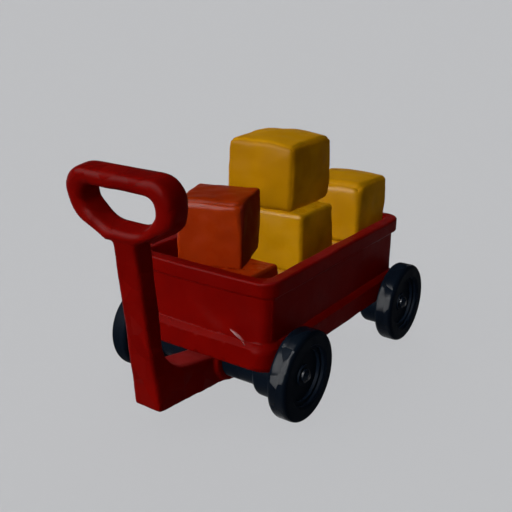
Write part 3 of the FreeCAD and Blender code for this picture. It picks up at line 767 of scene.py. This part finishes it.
def make_tyre(corner, materials):
    """A tyre with satin sides and a glossy tread, which is dull on the front left one."""
    tread = materials["tyre_sides" if corner == "front_left" else "tyre_plastic"]
    tyre_part(corner + "_tyre", "_tread", tread, is_tread)
    tyre_part(corner + "_tyre", "_sides", materials["tyre_sides"],
              lambda face: not is_tread(face))


class BlockLook:
    """How one block differs from a plain rounded box.

    Lengths are metres, and the two shares are of its width.
    """

    def __init__(self, node, turn=0.0, edge=0.0050, belly=0.0012, crown=0.0004,
                 top_share=0.012, foot_share=0.012, corner_drop=0.0, soft_front=0.0,
                 chips=0.0004, seed=0.0, material=None, side_material=None, top_material=None):
        self.node = node
        self.turn = math.radians(turn)
        self.edge = edge
        self.belly = belly
        self.crown = crown
        self.top_share = top_share
        self.foot_share = foot_share
        self.corner_drop = corner_drop
        self.soft_front = soft_front
        self.chips = chips
        self.seed = seed
        self.slot = ("red" if node.startswith("red") else "yellow") + "_block_plastic"
        self.material = material or self.slot
        self.side_material = side_material or self.material
        self.top_material = top_material or self.material


BLOCK_LOOKS = [
    BlockLook("red_block_lower", edge=0.0035, belly=0.0006, seed=1.3),
    # upper red block: its right side and its top in darker orange, painted shade
    BlockLook("red_block_upper", turn=RED_BLOCK_TURN, edge=0.0036, belly=0.0008, crown=0.0010,
              top_share=0.010, foot_share=0.018, soft_front=0.0085, chips=0.0005, seed=5.0,
              side_material="red_block_painted_shade_side", top_material="red_block_painted_shade_top"),
    BlockLook("yellow_block_hidden_front", seed=8.7),
    BlockLook("yellow_block_hidden_back", seed=12.4),
    # middle and back blocks in the lighter yellow of painted light
    BlockLook("yellow_block_middle", edge=0.0050, belly=0.0008, top_share=0.020,
              foot_share=0.004, seed=16.1, material="yellow_block_painted_light",
              side_material="painted_light_yellow_side_light_and_shade"),
    BlockLook("yellow_block_back", edge=0.0052, belly=0.0010, crown=0.0028, top_share=0.018,
              foot_share=0.004, corner_drop=0.0014, soft_front=0.0080, seed=19.8,
              material="yellow_block_painted_light", side_material="painted_light_yellow_side_light_and_shade",
              top_material="yellow_top_painted_light"),
    # top block: its top in the lighter yellow of painted light
    BlockLook("yellow_block_top", edge=0.0062, belly=0.0022, crown=0.0034, top_share=0.030,
              foot_share=0.055, corner_drop=0.0024, seed=23.5, side_material="yellow_side_painted_light_and_shade",
              top_material="yellow_top_painted_light"),
]


def block_extent(node, turn):
    """Centre and half sizes of a CAD block, along its own turned axes."""
    back_turn = Matrix.Rotation(-turn, 3, "Z")
    points = [back_turn @ vertex.co for vertex in frame["nodes"][node].data.vertices]
    low = Vector([min(point[axis] for point in points) for axis in range(3)])
    high = Vector([max(point[axis] for point in points) for axis in range(3)])
    return Matrix.Rotation(turn, 3, "Z") @ ((low + high) / 2), (high - low) / 2


def rounded_box_point(unit, half, edge):
    """Where a point of the unit cube's surface lies on a box with rounded edges."""
    inner = Vector([
        max(edge - half[axis], min(half[axis] - edge, unit[axis] * half[axis]))
        for axis in range(3)
    ])
    reach = Vector([unit[axis] * half[axis] - inner[axis] for axis in range(3)])
    return inner + reach.normalized() * edge


def puffy_point(unit, half, look):
    """A point of a swollen, slightly uneven block, from a point of the unit cube."""
    edge = look.edge + look.soft_front * max(0.0, unit[2]) * max(0.0, -unit[1])
    point = rounded_box_point(unit, half, edge)
    bellies = (look.belly, look.belly, look.crown if unit[2] > 0 else 0.0)
    for axis in range(3):
        first, second = unit[(axis + 1) % 3], unit[(axis + 2) % 3]
        point[axis] += bellies[axis] * (1 - first ** 2) * (1 - second ** 2) * unit[axis] ** 3
    if unit[2] > 0:
        corner = abs(unit[0] * unit[1])
        point[2] -= look.corner_drop * (corner ** 3 - 0.4 * (1 - corner)) * unit[2] ** 4
    share = look.top_share if unit[2] > 0 else look.foot_share
    narrowing = 1 - share * abs(unit[2]) ** 2.4
    point[0] *= narrowing
    point[1] *= narrowing
    slow = noise.noise(point * BLOCK_SLOW_SCALE + Vector((look.seed, 0, 0)))
    quick = noise.noise(point * BLOCK_QUICK_SCALE + Vector((0, look.seed, 0)))
    chip = noise.noise(point * CHIP_SCALE + Vector((0, 0, look.seed)))
    sizes = sorted(abs(part) for part in unit)
    at_edge = ramp(sizes[1], CHIPPED_FROM, 1 - CHIPPED_FROM)
    chipped = 3.0 * look.chips * max(0.0, chip - CHIP_LEVEL) * at_edge
    out = BLOCK_SLOW_HEIGHT * slow + BLOCK_QUICK_HEIGHT * quick - chipped
    return point + point.normalized() * out


def crowded(part):
    """A place along the unit cube, moved towards the nearer edge."""
    return (1 - EDGE_CROWDING) * part + EDGE_CROWDING * math.sin(part * math.pi / 2)


def puffy_block(look, materials):
    """Swollen block with soft edges, in place of a CAD block."""
    centre, half = block_extent(look.node, look.turn)
    maker = bmesh.new()
    bmesh.ops.create_cube(maker, size=2.0)
    bmesh.ops.subdivide_edges(maker, edges=maker.edges[:], cuts=BLOCK_CUTS, use_grid_fill=True)
    spin = Matrix.Rotation(look.turn, 3, "Z")
    for face in maker.faces:
        middle = face.calc_center_median()
        # faces on the block's +X side take the side material and top faces the top material; on
        # some blocks these carry painted shade or painted light
        face.material_index = 1 if middle.x > ALMOST_ONE else 2 if middle.z > ALMOST_ONE else 0
        face.smooth = True
    for vertex in maker.verts:
        unit = Vector([crowded(part) for part in vertex.co])
        vertex.co = centre + spin @ puffy_point(unit, half, look)
    mesh = bpy.data.meshes.new(look.node + "_look")
    maker.to_mesh(mesh)
    maker.free()
    piece = bpy.data.objects.new(look.node + "_look", mesh)
    bpy.context.scene.collection.objects.link(piece)
    for name in (look.material, look.side_material, look.top_material):
        mesh.materials.append(materials[name])
    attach(piece, "wagon")
    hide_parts(look.node)


noise.seed_set(NOISE_SEED)
bpy.context.scene.view_settings.view_transform = "Standard"
make_camera()
light_the_scene()
make_world()
make_floor()
slot_materials = make_materials()
paint_cad_nodes(slot_materials)
make_handle(slot_materials)
make_tray(slot_materials)
for wheel_corner in ("front_left", "front_right", "rear_left", "rear_right"):
    make_tyre(wheel_corner, slot_materials)
for block_look in BLOCK_LOOKS:
    puffy_block(block_look, slot_materials)
